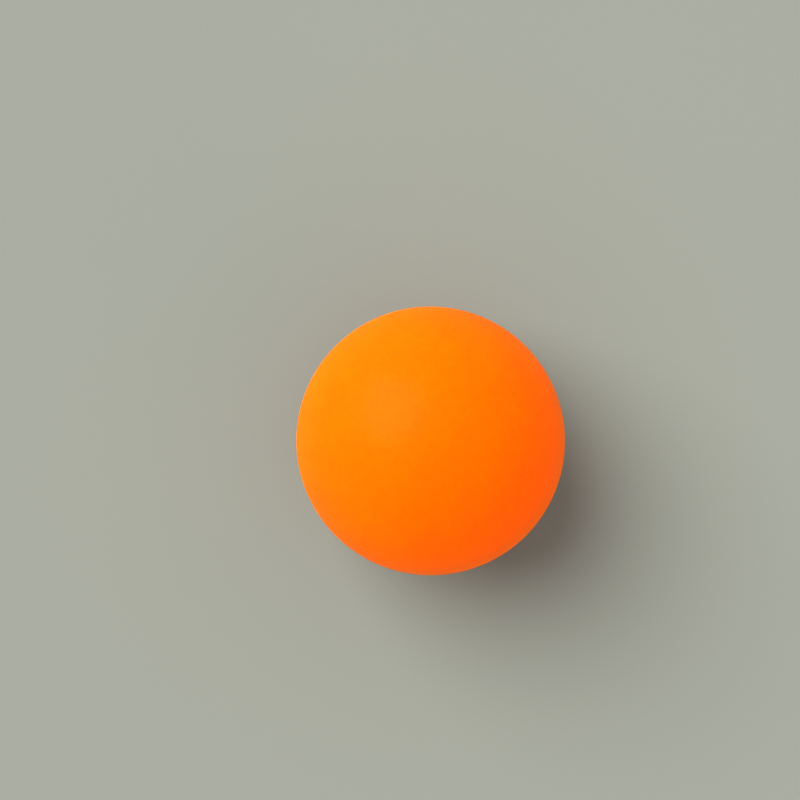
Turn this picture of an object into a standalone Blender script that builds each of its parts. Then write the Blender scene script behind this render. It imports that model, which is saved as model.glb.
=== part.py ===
"""Table tennis ball: two moulded half shells joined at the equator by a stepped lap and solvent cement.

Run it with: blender --background --python part.py
Lengths are in metres and +Z is up. The origin is the ball's centre, and the seam lies in the plane z = 0.
The upper half ends in an outer lip. The lower half ends in an inner tongue, which stands up behind that
lip. The cement fills the stepped space between the two and leaves a small round bead on the inside.
"""

import math

import bpy

# Driving dimensions, in metres. Each one can be changed by itself.
BALL_DIAMETER = 0.04000
WALL = 0.00047  # thickness of each shell away from the seam
SEAM_LAND = 0.00090  # thickness at the seam, where a straight cylindrical land stiffens the shell
LIP_THICKNESS = 0.00042  # upper half: thickness of the outer lip at its free edge
LAP_HEIGHT = 0.00100  # lower half: height of the tongue's top above the seam plane
TONGUE_CHAMFER = 0.00010  # lower half: lead-in on the tongue's outer top edge
CEMENT_FILM = 0.00006  # thickness of the cement between the halves
CEMENT_BEAD = 0.00020  # radius of the bead of cement on the inside
FIT_GAP = 0.00001  # clearance between the cement and each half

# How finely the round shapes are divided.
SEGMENTS = 64  # round the polar axis, the same on every piece so that the facets line up
ARC_STEP = 2 * math.pi / SEGMENTS  # widest angle between two points along a meridian
BEAD_STEPS = 6  # along the bead's half circle
MERGE_DISTANCE = 0.000001  # joins only the points that fall on the axis
SHARP_ANGLE = math.radians(30)  # edges that turn by more than this stay crisp

# Colours are linear RGBA, as the Principled BSDF takes them.
SHELL_COLOUR = (0.98, 0.157, 0.0, 1.0)
CEMENT_COLOUR = (0.90, 0.120, 0.0, 1.0)
SHELL_ROUGHNESS = 0.55
CEMENT_ROUGHNESS = 0.36

# Radii measured from the polar axis or from the centre, all worked out from the driving dimensions.
OUTER_RADIUS = BALL_DIAMETER / 2
INNER_RADIUS = OUTER_RADIUS - WALL
LAND_RADIUS = OUTER_RADIUS - SEAM_LAND
JOINT_SPACE = CEMENT_FILM + 2 * FIT_GAP
LIP_RADIUS = OUTER_RADIUS - LIP_THICKNESS
TONGUE_RADIUS = LIP_RADIUS - JOINT_SPACE
POLE_FACET = OUTER_RADIUS * math.sin(ARC_STEP / 2)  # half width of the flat facet centred on each pole

# Heights above the seam plane.
LIP_END = JOINT_SPACE / 2
SHOULDER = -JOINT_SPACE / 2
TONGUE_TOP = LAP_HEIGHT
REBATE_TOP = TONGUE_TOP + JOINT_SPACE

POLE = math.pi / 2  # elevation of the upper pole
LAND_ELEVATION = math.acos(LAND_RADIUS / INNER_RADIUS)  # where the land runs out into the inner sphere


def clear_scene():
    for obj in list(bpy.data.objects):
        bpy.data.objects.remove(obj, do_unlink=True)


def principled(name, colour, roughness):
    """A plain plastic with the given colour and roughness."""
    material = bpy.data.materials.new(name)
    material.use_nodes = True
    shader = material.node_tree.nodes["Principled BSDF"]
    shader.inputs["Base Color"].default_value = colour
    shader.inputs["Roughness"].default_value = roughness
    shader.inputs["Metallic"].default_value = 0.0
    material.diffuse_color = colour
    return material


def meridian(radius, first, last):
    """Points (distance from the axis, height) on a circle about the centre, between two elevations."""
    steps = max(1, math.ceil(abs(last - first) / ARC_STEP - 1e-6))
    angles = [first + (last - first) * step / steps for step in range(steps + 1)]
    return [
        (0.0 if abs(angle) == POLE else radius * math.cos(angle), radius * math.sin(angle))
        for angle in angles
    ]


def outside_from_pole(seam_edge):
    """The outside of the upper half, from its pole down to the given height above the seam plane.

    The pole is the middle of a flat facet about as wide as the other facets, not a corner.
    """
    facet = [(0.0, OUTER_RADIUS), (POLE_FACET, OUTER_RADIUS)]
    next_ring = POLE - ARC_STEP / 2 - ARC_STEP  # half a step to the facet's edge, then a whole one
    return facet + meridian(OUTER_RADIUS, next_ring, math.asin(seam_edge / OUTER_RADIUS))


def upper_profile():
    """Outer pole, down the outside to the lip, round the rebate, and up the inside to the inner pole."""
    outside = outside_from_pole(LIP_END)
    rebate = [(LIP_RADIUS, LIP_END), (LIP_RADIUS, REBATE_TOP), (LAND_RADIUS, REBATE_TOP)]
    inside = meridian(INNER_RADIUS, LAND_ELEVATION, POLE)
    return outside + rebate + inside


def lower_profile():
    """Inner pole, up the inside to the tongue, over it to the shoulder, and down the outside."""
    inside = meridian(INNER_RADIUS, -POLE, -LAND_ELEVATION)
    tongue = [
        (LAND_RADIUS, TONGUE_TOP),
        (TONGUE_RADIUS - TONGUE_CHAMFER, TONGUE_TOP),
        (TONGUE_RADIUS, TONGUE_TOP - TONGUE_CHAMFER),
        (TONGUE_RADIUS, SHOULDER),
    ]
    outside = [(distance, -height) for distance, height in reversed(outside_from_pole(-SHOULDER))]
    return inside + tongue + outside


def cement_profile():
    """The stepped film between the halves, flush outside, with a half-round bead over the inner land.

    It is a closed outline. The side towards the upper half comes first, then the visible edge, then the
    side towards the lower half, and last the bead, from its bottom to its top.
    """
    corner = FIT_GAP * math.tan(math.pi / 8)  # keeps the gap even round the tongue's chamfer
    bead_back = LAND_RADIUS - FIT_GAP
    bead_centre = (TONGUE_TOP + REBATE_TOP) / 2
    towards_upper = [
        (bead_back, REBATE_TOP - FIT_GAP),
        (LIP_RADIUS - FIT_GAP, REBATE_TOP - FIT_GAP),
        (LIP_RADIUS - FIT_GAP, LIP_END - FIT_GAP),
    ]
    visible_edge = [
        (OUTER_RADIUS, LIP_END - FIT_GAP),
        (OUTER_RADIUS, SHOULDER + FIT_GAP),
    ]
    towards_lower = [
        (TONGUE_RADIUS + FIT_GAP, SHOULDER + FIT_GAP),
        (TONGUE_RADIUS + FIT_GAP, TONGUE_TOP - TONGUE_CHAMFER + corner),
        (TONGUE_RADIUS - TONGUE_CHAMFER + corner, TONGUE_TOP + FIT_GAP),
        (bead_back, TONGUE_TOP + FIT_GAP),
    ]
    bead = []
    for step in range(BEAD_STEPS + 1):
        angle = math.pi * (step / BEAD_STEPS - 0.5)
        inward = CEMENT_BEAD * math.cos(angle)
        bead.append((bead_back - inward, bead_centre + CEMENT_BEAD * math.sin(angle)))
    return towards_upper + visible_edge + towards_lower + bead


def turned(name, profile, closed, material, collection, parent):
    """A solid of revolution about Z: the profile through a Screw modifier, then shaded smooth."""
    points = [(distance, 0.0, height) for distance, height in profile]
    edges = [(index, index + 1) for index in range(len(points) - 1)]
    if closed:
        edges.append((len(points) - 1, 0))
    outline = bpy.data.meshes.new(name + "_profile")
    outline.from_pydata(points, edges, [])
    obj = bpy.data.objects.new(name, outline)
    collection.objects.link(obj)

    screw = obj.modifiers.new("Turn", "SCREW")
    screw.axis = "Z"
    screw.angle = 2 * math.pi
    screw.steps = SEGMENTS
    screw.render_steps = SEGMENTS
    screw.use_merge_vertices = True
    screw.merge_threshold = MERGE_DISTANCE

    graph = bpy.context.evaluated_depsgraph_get()
    obj.data = bpy.data.meshes.new_from_object(obj.evaluated_get(graph))
    obj.modifiers.clear()
    bpy.data.meshes.remove(outline)
    obj.data.name = name
    obj.data.shade_smooth()
    obj.data.set_sharp_from_angle(angle=SHARP_ANGLE)
    obj.data.materials.append(material)
    obj.parent = parent
    return obj


def main():
    clear_scene()
    collection = bpy.data.collections.new("table_tennis_ball")
    bpy.context.scene.collection.children.link(collection)
    centre = bpy.data.objects.new("ball_centre", None)
    centre.empty_display_size = OUTER_RADIUS / 2
    collection.objects.link(centre)

    shell = principled("orange_moulded_shell", SHELL_COLOUR, SHELL_ROUGHNESS)
    cement = principled("solvent_cement", CEMENT_COLOUR, CEMENT_ROUGHNESS)
    turned("upper_half_shell", upper_profile(), False, shell, collection, centre)
    turned("lower_half_shell", lower_profile(), False, shell, collection, centre)
    turned("seam_cement", cement_profile(), True, cement, collection, centre)


main()
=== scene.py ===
"""Table tennis ball: the looks of a hollow orange ball made of two cemented half shells.

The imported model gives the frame. Each of its three solids is replaced by a finer turned surface of the same
size: two thin half shells that meet in a stepped lap, and the ring of solvent cement between them. Lengths
are in metres, +Z is the polar axis, and the seam lies in the plane z = 0. The ball rests on the floor under
its lower pole, and the camera looks down on its upper half.
"""

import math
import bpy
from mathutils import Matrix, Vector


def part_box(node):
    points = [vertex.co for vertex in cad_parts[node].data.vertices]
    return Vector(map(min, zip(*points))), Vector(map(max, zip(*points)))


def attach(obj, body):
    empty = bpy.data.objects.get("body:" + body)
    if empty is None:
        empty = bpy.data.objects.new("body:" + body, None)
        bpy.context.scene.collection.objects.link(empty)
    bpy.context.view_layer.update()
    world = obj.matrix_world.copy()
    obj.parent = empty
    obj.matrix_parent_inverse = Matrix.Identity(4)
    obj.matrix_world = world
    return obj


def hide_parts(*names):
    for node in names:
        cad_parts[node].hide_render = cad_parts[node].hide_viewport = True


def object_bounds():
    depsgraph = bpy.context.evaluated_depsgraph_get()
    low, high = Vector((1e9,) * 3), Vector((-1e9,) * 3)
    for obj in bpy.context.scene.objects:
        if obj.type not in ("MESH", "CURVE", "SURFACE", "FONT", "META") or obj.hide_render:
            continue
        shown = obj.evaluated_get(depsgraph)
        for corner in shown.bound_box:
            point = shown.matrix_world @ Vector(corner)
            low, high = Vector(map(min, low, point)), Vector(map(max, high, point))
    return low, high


bl_info = {
    "name": "Table Tennis Ball",
    "version": (1, 0, 0),
    "blender": (4, 5, 0),
    "location": "3D View > Sidebar > Ball",
    "description": "Turns the shells, the seam and the finish of a hollow table tennis ball",
    "category": "Add Mesh",
}

import bpy
import numpy as np
from bpy.props import FloatProperty, FloatVectorProperty, IntProperty, PointerProperty
from mathutils import Matrix, Vector

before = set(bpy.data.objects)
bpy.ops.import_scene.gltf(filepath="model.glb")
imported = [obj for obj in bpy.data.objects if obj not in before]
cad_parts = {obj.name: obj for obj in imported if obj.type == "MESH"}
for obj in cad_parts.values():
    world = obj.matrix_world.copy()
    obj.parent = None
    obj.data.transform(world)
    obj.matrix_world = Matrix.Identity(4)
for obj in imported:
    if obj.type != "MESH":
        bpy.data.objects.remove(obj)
CAD_LOW, CAD_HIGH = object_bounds()
CEMENT_LOW, CEMENT_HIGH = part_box("seam_cement")

CENTRE = (CAD_LOW + CAD_HIGH) / 2
OUTER_RADIUS = (CAD_HIGH.z - CAD_LOW.z) / 2
FLOOR_HEIGHT = CAD_LOW.z
LIP_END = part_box("upper_half_shell")[0].z  # height above the seam plane of each shell's edge
TONGUE_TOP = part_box("lower_half_shell")[1].z

SHARP_ANGLE = math.radians(35)  # edges that turn by more than this stay crisp
EDGE_STEPS = 6  # along each rounded edge beside the seam
BEAD_STEPS = 16  # along the bead's half circle
PAST_THE_EDGE = 1.2  # the ball's outside starts this much further from the seam than the rounded edge ends
FLOOR_RADIUS = 6.0
OFF_AXIS = (0.0272, -0.0363)  # the camera's place beside the polar axis, as a share of its distance

# How far a colour is varied each way, as a share of it.
MOTTLE = 0.055
PAINT_MOTTLE = 0.015

# Colours of the lights, and the directions that they come from.
DAYLIGHT = (1.0, 0.985, 0.96)
WARM_LIGHT = (1.0, 0.28, 0.10)
KEY_FROM = (0.53, -0.42, 0.735)
WINDOW_FROM = (0.657, -0.680, 0.326)
BOUNCE_FROM = (-0.75, 0.63, 0.21)


# ------------------------------------------------------------------ settings


class BallShape(bpy.types.PropertyGroup):
    """Sizes of the shells and of the joint between them."""

    wall: FloatProperty(
        name="Wall",
        description="Thickness of each shell away from the seam",
        default=0.00047,
        unit="LENGTH",
    )
    land: FloatProperty(
        name="Seam land",
        description="Thickness at the seam, where the inside is a short straight cylinder",
        default=0.00090,
        unit="LENGTH",
    )
    lip: FloatProperty(
        name="Lip",
        description="Thickness of the upper shell's outer lip",
        default=0.00042,
        unit="LENGTH",
    )
    lead_in: FloatProperty(
        name="Lead-in",
        description="Chamfer on the top outer edge of the lower shell's tongue",
        default=0.00010,
        unit="LENGTH",
    )
    edge_round: FloatProperty(
        name="Edge rounding",
        description="Radius of the worn outer edge on each side of the seam",
        default=0.00006,
        unit="LENGTH",
    )
    groove: FloatProperty(
        name="Groove depth",
        description="How far the cement lies below the outside of the ball",
        default=0.00003,
        unit="LENGTH",
    )
    wear: FloatProperty(
        name="Uneven wear",
        description="How much the edge rounding and the groove vary round the seam, as a share of each",
        default=0.45,
        subtype="FACTOR",
    )
    segments: IntProperty(
        name="Segments",
        description="Divisions round the polar axis",
        default=288,
        min=16,
    )
    meridian_steps: IntProperty(
        name="Meridian steps",
        description="Divisions from a pole to the seam",
        default=120,
        min=8,
    )


class BallFinish(bpy.types.PropertyGroup):
    """Colours and surface of the plastic."""

    orange: FloatVectorProperty(
        name="Orange",
        description="Colour of the dyed plastic",
        subtype="COLOR",
        size=4,
        default=(0.98, 0.157, 0.0, 1.0),
    )
    cement: FloatVectorProperty(
        name="Cement",
        description="Colour of the set solvent cement",
        subtype="COLOR",
        size=4,
        default=(0.90, 0.120, 0.0, 1.0),
    )
    roughness: FloatProperty(
        name="Roughness",
        description="Roughness of the tumbled surface",
        default=0.55,
        subtype="FACTOR",
    )
    cement_roughness: FloatProperty(
        name="Cement roughness",
        description="Roughness of the set cement",
        default=0.36,
        subtype="FACTOR",
    )
    scatter: FloatProperty(
        name="Scatter distance",
        description="How far red light travels in the plastic",
        default=0.0003,
        unit="LENGTH",
    )


class BallStage(bpy.types.PropertyGroup):
    """Floor, light and camera."""

    floor: FloatVectorProperty(
        name="Floor",
        description="Colour of the floor",
        subtype="COLOR",
        size=4,
        default=(0.2175, 0.2345, 0.2135, 1.0),
    )
    sky: FloatProperty(
        name="Soft light",
        description="Brightness of the even light from all round",
        default=0.96,
    )
    key: FloatProperty(
        name="Key light",
        description="Strength of the broad light from the upper left",
        default=5.15,
    )
    window: FloatProperty(
        name="Window",
        description="Strength of the light that only shows as a faint highlight on the gloss",
        default=0.35,
    )
    bounce: FloatProperty(
        name="Warm bounce",
        description="Strength of the weak warm light that comes back from the other side",
        default=0.9,
    )
    gamma: FloatProperty(
        name="Gamma",
        description="Contrast of the finished picture: below one is more contrast",
        default=0.8,
    )
    camera_distance: FloatProperty(
        name="Camera distance",
        description="From the camera to the ball's centre",
        default=0.1667,
        unit="LENGTH",
    )


# ------------------------------------------------------------------ surfaces


def arc(radius, first, last, steps, centre=(0.0, 0.0)):
    """Points (distance from the axis, height) on a circle.

    Each point is the centre plus the radius times the cosine and the sine of an angle that goes evenly
    from first to last. Where the radius or the centre is a row of values, one for each place round the
    axis, the result has such a row for each point.
    """
    angle = np.linspace(first, last, steps + 1)[:, None]
    distance = centre[0] + radius * np.cos(angle)
    height = centre[1] + radius * np.sin(angle)
    return np.stack([distance, height], axis=-1)


def outline(segments, *parts):
    """Joins parts of an outline end to end, each spread out to one row for each place round the axis."""
    rows = []
    for part in parts:
        part = np.asarray(part, dtype=float)
        if part.ndim == 2:
            part = part[:, None, :]
        rows.append(np.broadcast_to(part, (len(part), segments, 2)))
    return np.concatenate(rows)


def around(segments):
    """Evenly spaced angles round the axis, the whole turn times j over the number of segments."""
    return np.linspace(0.0, 2 * math.pi, segments, endpoint=False)


def uneven(segments, share, phase):
    """A factor near 1 that wanders round the seam.

    It is 1 plus the share times the mean of five sines with 3, 7, 12, 19 and 31 waves in the turn, each
    with its own start.
    """
    angle = around(segments)[:, None]
    waves = np.array([3, 7, 12, 19, 31])
    starts = phase + waves * waves * 0.37
    return 1.0 + share * np.sin(angle * waves + starts).mean(axis=1) * 2.0


def turn(name, profile, closed):
    """A surface turned about Z, from an outline of (distance from the axis, height) at each place round it.

    Point j of ring i lies at (distance cos a, distance sin a, height), where a is the angle of place j. An
    open outline starts and ends on the axis: there the ring shrinks to one pole and the faces next to it
    are triangles. A closed one joins its last ring to its first. The outline runs down its outer side, so
    that every face points outwards.
    """
    segments = profile.shape[1]
    angle = around(segments)
    rings = profile if closed else profile[1:-1]
    distance, height = rings[..., 0], rings[..., 1]
    points = np.stack([distance * np.cos(angle), distance * np.sin(angle), height], axis=-1).reshape(-1, 3)

    index = np.arange(len(points)).reshape(len(rings), segments)
    ahead = np.roll(index, -1, axis=1)
    quads = np.stack([index, np.roll(index, -1, axis=0), np.roll(ahead, -1, axis=0), ahead], axis=-1)
    quads = (quads if closed else quads[:-1]).reshape(-1, 4)
    corners = quads.ravel()
    starts = np.arange(len(quads)) * 4
    if not closed:
        poles = np.array([[0.0, 0.0, profile[0, 0, 1]], [0.0, 0.0, profile[-1, 0, 1]]])
        first_pole, last_pole = len(points), len(points) + 1
        points = np.vstack([points, poles])
        first_fan = np.stack([np.full(segments, first_pole), index[0], ahead[0]], axis=-1)
        last_fan = np.stack([np.full(segments, last_pole), ahead[-1], index[-1]], axis=-1)
        fans = np.vstack([first_fan, last_fan])
        starts = np.concatenate([starts, len(corners) + np.arange(len(fans)) * 3])
        corners = np.concatenate([corners, fans.ravel()])

    mesh = bpy.data.meshes.new(name)
    mesh.vertices.add(len(points))
    mesh.vertices.foreach_set("co", points.astype(np.float32).ravel())
    mesh.loops.add(len(corners))
    mesh.loops.foreach_set("vertex_index", corners.astype(np.int32))
    mesh.polygons.add(len(starts))
    mesh.polygons.foreach_set("loop_start", starts.astype(np.int32))
    mesh.update(calc_edges=True)
    mesh.validate()
    mesh.shade_smooth()
    mesh.set_sharp_from_angle(angle=SHARP_ANGLE)
    obj = bpy.data.objects.new(name, mesh)
    bpy.context.scene.collection.objects.link(obj)
    return obj


def joint_radii(shape):
    """The radii at the seam: land, inside of the lip, and outside of the tongue behind it."""
    land = OUTER_RADIUS - shape.land
    lip = OUTER_RADIUS - shape.lip
    tongue = lip - 2 * LIP_END
    return land, lip, tongue


def worn_edge(shape, side):
    """The rounded outer edge beside the seam, a quarter circle of uneven radius, from outside to seam.

    Side is 1 for the upper half and -1 for the lower one. The quarter circle touches the end face at the
    height LIP_END, and the ball's outside just beyond it.
    """
    soft = shape.edge_round * uneven(shape.segments, shape.wear, 1.0 + side)
    centre = (OUTER_RADIUS - soft, side * (LIP_END + soft))
    return arc(soft, 0.0, -side * math.pi / 2, EDGE_STEPS, centre)


def upper_profile(shape):
    """Outer pole, down to the lip's worn edge, round the rebate, and up the inside to the inner pole."""
    land, lip, _ = joint_radii(shape)
    inner = OUTER_RADIUS - shape.wall
    rebate = TONGUE_TOP + 2 * LIP_END
    edge = worn_edge(shape, 1)
    start = math.asin(edge[0, :, 1].max() * PAST_THE_EDGE / OUTER_RADIUS)
    outside = arc(OUTER_RADIUS, math.pi / 2, start, shape.meridian_steps)
    rim = [(lip, LIP_END), (lip, rebate), (land, rebate)]
    inside = arc(inner, math.acos(land / inner), math.pi / 2, shape.meridian_steps * 2 // 3)
    return outline(shape.segments, outside, edge, rim, inside)


def lower_profile(shape):
    """Inner pole, up the inside to the tongue, over it to the shoulder's worn edge, and down outside."""
    land, _, tongue = joint_radii(shape)
    inner = OUTER_RADIUS - shape.wall
    inside = arc(inner, -math.pi / 2, -math.acos(land / inner), shape.meridian_steps * 2 // 3)
    rim = [
        (land, TONGUE_TOP),
        (tongue - shape.lead_in, TONGUE_TOP),
        (tongue, TONGUE_TOP - shape.lead_in),
        (tongue, -LIP_END),
    ]
    edge = worn_edge(shape, -1)[::-1]
    start = math.asin(edge[-1, :, 1].min() * PAST_THE_EDGE / OUTER_RADIUS)
    outside = arc(OUTER_RADIUS, start, -math.pi / 2, shape.meridian_steps)
    return outline(shape.segments, inside, rim, edge, outside)


def cement_profile(shape):
    """The stepped film of cement: an uneven shallow groove outside, and a half-round bead inside."""
    land, lip, tongue = joint_radii(shape)
    clear = LIP_END + CEMENT_LOW.z
    rebate = TONGUE_TOP + 2 * LIP_END
    back = land - clear
    half = LIP_END - clear
    depth = shape.groove * uneven(shape.segments, shape.wear, 4.0)
    face = np.stack([OUTER_RADIUS - depth, np.full_like(depth, half)], axis=-1)
    middle = np.stack([OUTER_RADIUS - depth - 0.3 * half, np.zeros_like(depth)], axis=-1)
    foot = face * (1, -1)
    top = [(back, rebate - clear), (lip - clear, rebate - clear), (lip - clear, half)]
    under = [
        (tongue + clear, -half),
        (tongue + clear, TONGUE_TOP - shape.lead_in),
        (tongue - shape.lead_in, TONGUE_TOP + clear),
        (back, TONGUE_TOP + clear),
    ]
    bead_centre = (TONGUE_TOP + rebate) / 2
    bead_radius = CEMENT_HIGH.z - bead_centre
    bead = arc(-bead_radius, math.pi / 2, -math.pi / 2, BEAD_STEPS, (back, bead_centre))
    return outline(shape.segments, top, face[None], middle[None], foot[None], under, bead)


# ------------------------------------------------------------------ materials


def add(nodes, kind, label, **values):
    """A new node with its label and its settings."""
    node = nodes.new(kind)
    node.label = label
    for name, value in values.items():
        setattr(node, name, value)
    return node


def math_node(tree, operation, label, first, second=0.5, third=None):
    """The output of a new Math node, whose inputs are numbers or sockets."""
    node = add(tree.nodes, "ShaderNodeMath", label, operation=operation)
    for socket, value in zip(node.inputs, (first, second, third)):
        if value is None:
            continue
        if isinstance(value, bpy.types.NodeSocket):
            tree.links.new(value, socket)
        else:
            socket.default_value = value
    return node.outputs["Value"]


def noise(tree, label, vector, scale, detail=2.0, rough=0.5):
    """A Noise Texture on the given coordinates, with its scale in cycles per metre."""
    node = add(tree.nodes, "ShaderNodeTexNoise", label)
    node.inputs["Detail"].default_value = detail
    node.inputs["Roughness"].default_value = rough
    tree.links.new(vector, node.inputs["Vector"])
    node.inputs["Scale"].default_value = scale
    return node.outputs["Fac"]


def stretched(tree, label, vector, scale, offset=(0.0, 0.0, 0.0)):
    """The coordinates times the scale of each axis, then moved by the offset."""
    node = add(tree.nodes, "ShaderNodeMapping", label)
    node.inputs["Scale"].default_value = scale
    node.inputs["Location"].default_value = offset
    tree.links.new(vector, node.inputs["Vector"])
    return node.outputs["Vector"]


def remap(tree, label, value, low, high, to_low, to_high):
    """The value's range from low to high carried to another one, with a soft start and end."""
    node = add(tree.nodes, "ShaderNodeMapRange", label, interpolation_type="SMOOTHSTEP")
    node.inputs["From Min"].default_value = low
    node.inputs["From Max"].default_value = high
    node.inputs["To Min"].default_value = to_low
    node.inputs["To Max"].default_value = to_high
    tree.links.new(value, node.inputs["Value"])
    return node.outputs["Result"]


def tumbled_finish_group():
    """The finish that tumbling in grit leaves on moulded plastic, shared by the shells and the cement.

    Inputs: Vector, the object's coordinates, Grain and Scuffs, how strong each is, and Seam Band, the half
    width of the zone that was sanded round the seam. Outputs: Tone, a slow mottle about 0.5, Roughness
    Shift, added to the material's roughness, and Height, in metres, for a Bump node.
    """
    group = bpy.data.node_groups.new("tumbled_finish", "ShaderNodeTree")
    face = group.interface
    face.new_socket("Vector", in_out="INPUT", socket_type="NodeSocketVector")
    for name, value in (("Grain", 1.0), ("Scuffs", 1.0), ("Seam Band", 0.0012)):
        face.new_socket(name, in_out="INPUT", socket_type="NodeSocketFloat").default_value = value
    for name in ("Tone", "Roughness Shift", "Height"):
        face.new_socket(name, in_out="OUTPUT", socket_type="NodeSocketFloat")
    into = group.nodes.new("NodeGroupInput")
    out = group.nodes.new("NodeGroupOutput")
    place = into.outputs["Vector"]

    split = add(group.nodes, "ShaderNodeSeparateXYZ", "height above the seam")
    group.links.new(place, split.inputs["Vector"])
    from_seam = math_node(group, "ABSOLUTE", "distance from the seam", split.outputs["Z"])
    ratio = math_node(group, "DIVIDE", "in band widths", from_seam, into.outputs["Seam Band"])
    band = remap(group, "sanded band", ratio, 0.55, 1.35, 1.0, 0.0)

    cloud = noise(group, "slow mottle", place, 95.0, detail=3.0, rough=0.55)
    fleck = noise(group, "small flecks", place, 700.0, rough=0.6)
    pebble = noise(group, "fine pebble", place, 4200.0, rough=0.6)
    orange_peel = noise(group, "shallow waves", place, 620.0)
    ring_place = stretched(group, "along the seam", place, (260.0, 260.0, 9000.0))
    rings = noise(group, "sanding lines", ring_place, 1.0, rough=0.65)
    streak_place = stretched(group, "across the ball", place, (2400.0, 180.0, 640.0))
    streaks = noise(group, "faint scuffs", streak_place, 1.0, detail=3.0, rough=0.6)
    patches = noise(group, "scuffed patches", place, 160.0)
    scuff_mask = remap(group, "where it was scuffed", patches, 0.56, 0.72, 0.0, 1.0)
    scuff_line = remap(group, "only the sharpest", streaks, 0.60, 0.70, 0.0, 1.0)
    scuff = math_node(group, "MULTIPLY", "scuffs", scuff_mask, scuff_line)
    scuff = math_node(group, "MULTIPLY", "scuff strength", scuff, into.outputs["Scuffs"])

    tone = math_node(group, "MULTIPLY_ADD", "flecks in the mottle", fleck, 0.5, cloud)
    tone = math_node(group, "MULTIPLY_ADD", "scuffs lighten", scuff, 0.5, tone)
    tone = math_node(group, "MULTIPLY_ADD", "sanded band is paler", band, 0.2, tone)
    tone = math_node(group, "SUBTRACT", "tone about a half", tone, 0.25)
    group.links.new(tone, out.inputs["Tone"])

    rough = remap(group, "matte and satin", cloud, 0.3, 0.7, -0.03, 0.03)
    rough = math_node(group, "MULTIPLY_ADD", "sanded band is smoother", band, -0.06, rough)
    rough = math_node(group, "MULTIPLY_ADD", "scuffs shine a little", scuff, -0.08, rough)
    group.links.new(rough, out.inputs["Roughness Shift"])

    grain = math_node(group, "MULTIPLY", "pebble height", pebble, 30.0e-6)
    grain = math_node(group, "MULTIPLY_ADD", "waves under it", orange_peel, 40.0e-6, grain)
    away = math_node(group, "SUBTRACT", "outside the band", 1.0, band)
    away = math_node(group, "MULTIPLY_ADD", "grain left in the band", away, 0.7, 0.3)
    grain = math_node(group, "MULTIPLY", "grain off the band", grain, away)
    lines = math_node(group, "MULTIPLY", "lines in the band", rings, band)
    grain = math_node(group, "MULTIPLY_ADD", "grain and lines", lines, 14.0e-6, grain)
    grain = math_node(group, "MULTIPLY_ADD", "scuffs cut in", scuff, -12.0e-6, grain)
    grain = math_node(group, "MULTIPLY", "grain strength", grain, into.outputs["Grain"])
    group.links.new(grain, out.inputs["Height"])
    return group


def plastic(name, colour, roughness, scatter, offset=(0.0, 0.0, 0.0), grain=1.0, scuffs=1.0):
    """Dyed translucent plastic with the tumbled finish, its pattern moved by offset."""
    material = bpy.data.materials.new(name)
    material.use_nodes = True
    tree = material.node_tree
    shader = tree.nodes["Principled BSDF"]
    coordinates = add(tree.nodes, "ShaderNodeTexCoord", "object coordinates")
    moved = stretched(tree, "pattern offset", coordinates.outputs["Object"], (1.0, 1.0, 1.0), offset)
    finish = add(tree.nodes, "ShaderNodeGroup", "tumbled finish", node_tree=finish_group())
    finish.inputs["Grain"].default_value = grain
    finish.inputs["Scuffs"].default_value = scuffs
    tree.links.new(moved, finish.inputs["Vector"])

    tint = add(tree.nodes, "ShaderNodeMix", "mottle", data_type="RGBA", blend_type="MIX")
    tint.inputs["A"].default_value = [channel * (1 - MOTTLE) for channel in colour[:3]] + [1.0]
    tint.inputs["B"].default_value = [min(0.99, channel * (1 + MOTTLE)) for channel in colour[:3]] + [1.0]
    tree.links.new(finish.outputs["Tone"], tint.inputs["Factor"])
    tree.links.new(tint.outputs["Result"], shader.inputs["Base Color"])

    rough = math_node(tree, "ADD", "roughness", finish.outputs["Roughness Shift"], roughness)
    tree.links.new(rough, shader.inputs["Roughness"])

    bump = add(tree.nodes, "ShaderNodeBump", "surface relief")
    bump.inputs["Distance"].default_value = 1.0
    bump.inputs["Strength"].default_value = 1.0
    tree.links.new(finish.outputs["Height"], bump.inputs["Height"])
    tree.links.new(bump.outputs["Normal"], shader.inputs["Normal"])

    shader.inputs["Subsurface Weight"].default_value = 1.0
    shader.inputs["Subsurface Radius"].default_value = (1.0, 0.32, 0.10)
    shader.inputs["Subsurface Scale"].default_value = scatter
    shader.inputs["Specular IOR Level"].default_value = 0.12
    shader.inputs["Coat Weight"].default_value = 0.03
    shader.inputs["Coat Roughness"].default_value = 0.22
    shader.inputs["Specular Tint"].default_value = (1.0, 0.5, 0.03, 1.0)
    return material


def wall_paint(name, colour):
    """The pale matte floor, with a very slight unevenness."""
    material = bpy.data.materials.new(name)
    material.use_nodes = True
    tree = material.node_tree
    shader = tree.nodes["Principled BSDF"]
    coordinates = add(tree.nodes, "ShaderNodeTexCoord", "object coordinates")
    cloud = noise(tree, "uneven paint", coordinates.outputs["Object"], 9.0)
    tint = add(tree.nodes, "ShaderNodeMix", "unevenness", data_type="RGBA", blend_type="MIX")
    tint.inputs["A"].default_value = [channel * (1 - PAINT_MOTTLE) for channel in colour[:3]] + [1.0]
    tint.inputs["B"].default_value = [channel * (1 + PAINT_MOTTLE) for channel in colour[:3]] + [1.0]
    tree.links.new(cloud, tint.inputs["Factor"])
    tree.links.new(tint.outputs["Result"], shader.inputs["Base Color"])
    shader.inputs["Roughness"].default_value = 1.0
    shader.inputs["Specular IOR Level"].default_value = 0.0
    return material


def finish_group():
    """The shared finish, made on its first use."""
    return bpy.data.node_groups.get("tumbled_finish") or tumbled_finish_group()


# ------------------------------------------------------------------ operators


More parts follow.
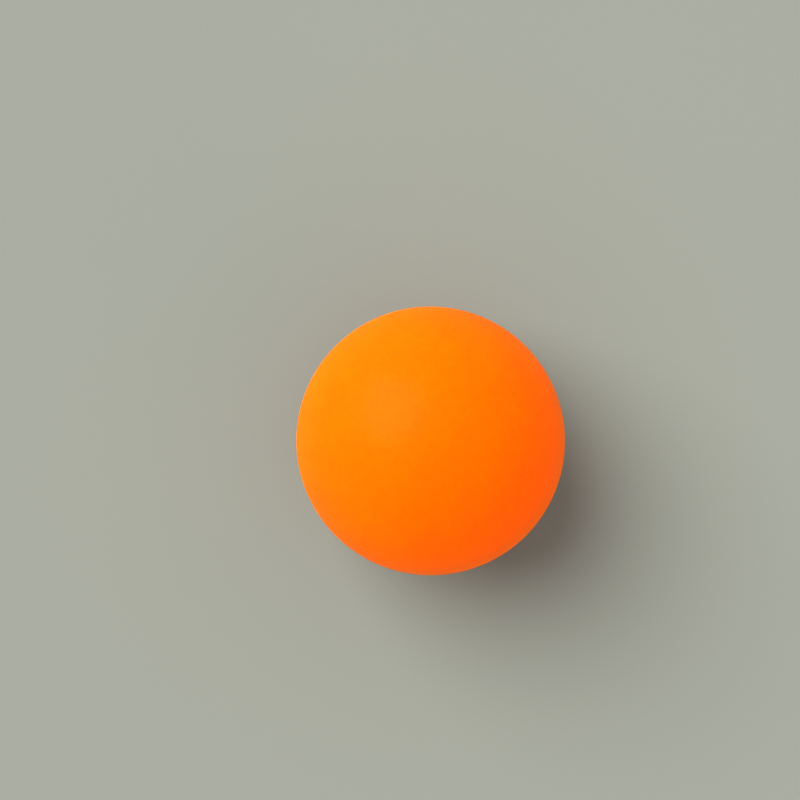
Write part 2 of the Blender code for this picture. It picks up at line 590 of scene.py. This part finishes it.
def settle(piece, node, material):
    """Gives the piece its material, its body and its slot, and lets it stand for the CAD node."""
    piece.data.materials.append(material)
    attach(piece, "root")
    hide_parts(node)


class BALL_OT_shells(bpy.types.Operator):
    """Turn the two half shells"""

    bl_idname = "ball.shells"
    bl_label = "Half shells"

    def execute(self, context):
        shape = context.scene.ball_shape
        finish = context.scene.ball_finish
        halves = (
            ("upper", upper_profile, (0.0, 0.0, 0.0)),
            ("lower", lower_profile, (0.31, 0.17, 0.0)),
        )
        for half, profile, offset in halves:
            shell = turn(half + "_half", profile(shape), closed=False)
            name = "orange_plastic_" + half
            skin = plastic(name, tuple(finish.orange), finish.roughness, finish.scatter, offset)
            settle(shell, half + "_half_shell", skin)
        return {"FINISHED"}


class BALL_OT_cement(bpy.types.Operator):
    """Turn the ring of cement in the joint"""

    bl_idname = "ball.cement"
    bl_label = "Seam cement"

    def execute(self, context):
        shape = context.scene.ball_shape
        finish = context.scene.ball_finish
        ring = turn("cement_ring", cement_profile(shape), closed=True)
        colour, rough = tuple(finish.cement), finish.cement_roughness
        skin = plastic("set_cement", colour, rough, finish.scatter, grain=0.4, scuffs=0.0)
        settle(ring, "seam_cement", skin)
        return {"FINISHED"}


class BALL_OT_stage(bpy.types.Operator):
    """Lay the floor, light it, and place the camera"""

    bl_idname = "ball.stage"
    bl_label = "Floor, light and camera"

    def execute(self, context):
        stage = context.scene.ball_stage
        context.scene.view_settings.view_transform = "Standard"
        context.scene.view_settings.gamma = stage.gamma
        lay_floor(stage)
        light_world(context.scene, stage)
        shine(context.scene, "key", stage.key, DAYLIGHT, 50, KEY_FROM)
        shine(context.scene, "warm_bounce", stage.bounce, WARM_LIGHT, 60, BOUNCE_FROM)
        window = shine(context.scene, "window", stage.window, DAYLIGHT, 16, WINDOW_FROM)
        window.visible_diffuse = False
        place_camera(context.scene, stage)
        return {"FINISHED"}


def lay_floor(stage):
    """A wide flat disc just under the ball."""
    bpy.ops.mesh.primitive_circle_add(vertices=128, radius=FLOOR_RADIUS, fill_type="NGON")
    floor = bpy.context.object
    floor.name = "floor"
    floor.data.transform(Matrix.Translation((CENTRE.x, CENTRE.y, FLOOR_HEIGHT)))
    floor.data.materials.append(wall_paint("pale_floor", tuple(stage.floor)))


def floor_tone(stage):
    """The brightness of the open floor: its colour times all the light that falls on it.

    The even light counts in full. A lamp counts as its strength times the height of its direction, over pi.
    """
    light = stage.sky * np.array(DAYLIGHT)
    lamps = ((stage.key, DAYLIGHT, KEY_FROM), (stage.bounce, WARM_LIGHT, BOUNCE_FROM))
    for strength, colour, toward in lamps:
        light += strength * Vector(toward).normalized().z / math.pi * np.array(colour)
    return tuple(light * np.array(stage.floor[:3])) + (1.0,)


def light_world(scene, stage):
    """Even light from all round. The camera sees the floor's own tone beyond its edge."""
    world = bpy.data.worlds.new("soft_room")
    world.use_nodes = True
    tree = world.node_tree
    tree.nodes.clear()
    out = add(tree.nodes, "ShaderNodeOutputWorld", "out")
    even = add(tree.nodes, "ShaderNodeBackground", "even light")
    even.inputs["Color"].default_value = DAYLIGHT + (1.0,)
    even.inputs["Strength"].default_value = stage.sky
    seen = add(tree.nodes, "ShaderNodeBackground", "beyond the floor")
    seen.inputs["Color"].default_value = floor_tone(stage)
    path = add(tree.nodes, "ShaderNodeLightPath", "what looks")
    mix = add(tree.nodes, "ShaderNodeMixShader", "light or backdrop")
    tree.links.new(path.outputs["Is Camera Ray"], mix.inputs["Fac"])
    tree.links.new(even.outputs["Background"], mix.inputs[1])
    tree.links.new(seen.outputs["Background"], mix.inputs[2])
    tree.links.new(mix.outputs["Shader"], out.inputs["Surface"])
    scene.world = world


def shine(scene, name, strength, colour, width, toward):
    """A soft light as wide as the given angle in degrees, which comes from the direction toward."""
    lamp = bpy.data.lights.new(name, "SUN")
    lamp.energy = strength
    lamp.angle = math.radians(width)
    lamp.color = colour
    light = bpy.data.objects.new(name, lamp)
    light.rotation_euler = Vector(toward).to_track_quat("Z", "Y").to_euler()
    light.location = toward
    scene.collection.objects.link(light)
    return light


def place_camera(scene, stage):
    """Looking straight down, with the ball a little right of and below the middle of the picture."""
    lens = bpy.data.cameras.new("camera")
    lens.lens = 50.0
    lens.sensor_width = 36.0
    lens.clip_start = 0.005
    camera = bpy.data.objects.new("camera", lens)
    reach = stage.camera_distance
    camera.location = CENTRE + reach * Vector((*OFF_AXIS, 1.0))
    camera.rotation_euler = (0.0, 0.0, math.pi)
    scene.collection.objects.link(camera)
    scene.camera = camera


class BALL_PT_panel(bpy.types.Panel):
    """Buttons and settings for the ball"""

    bl_idname = "BALL_PT_panel"
    bl_label = "Table Tennis Ball"
    bl_space_type = "VIEW_3D"
    bl_region_type = "UI"
    bl_category = "Ball"

    def draw(self, context):
        layout = self.layout
        for operator in (BALL_OT_shells, BALL_OT_cement, BALL_OT_stage):
            layout.operator(operator.bl_idname)
        for group in (context.scene.ball_shape, context.scene.ball_finish, context.scene.ball_stage):
            box = layout.box()
            for name in group.bl_rna.properties.keys():
                if name not in ("name", "rna_type"):
                    box.prop(group, name)


CLASSES = (
    BallShape,
    BallFinish,
    BallStage,
    BALL_OT_shells,
    BALL_OT_cement,
    BALL_OT_stage,
    BALL_PT_panel,
)


def register():
    for cls in CLASSES:
        bpy.utils.register_class(cls)
    bpy.types.Scene.ball_shape = PointerProperty(type=BallShape)
    bpy.types.Scene.ball_finish = PointerProperty(type=BallFinish)
    bpy.types.Scene.ball_stage = PointerProperty(type=BallStage)


def unregister():
    del bpy.types.Scene.ball_stage
    del bpy.types.Scene.ball_finish
    del bpy.types.Scene.ball_shape
    for cls in reversed(CLASSES):
        bpy.utils.unregister_class(cls)


def main():
    register()
    bpy.ops.ball.shells()
    bpy.ops.ball.cement()
    bpy.ops.ball.stage()


if __name__ == "__main__":
    main()
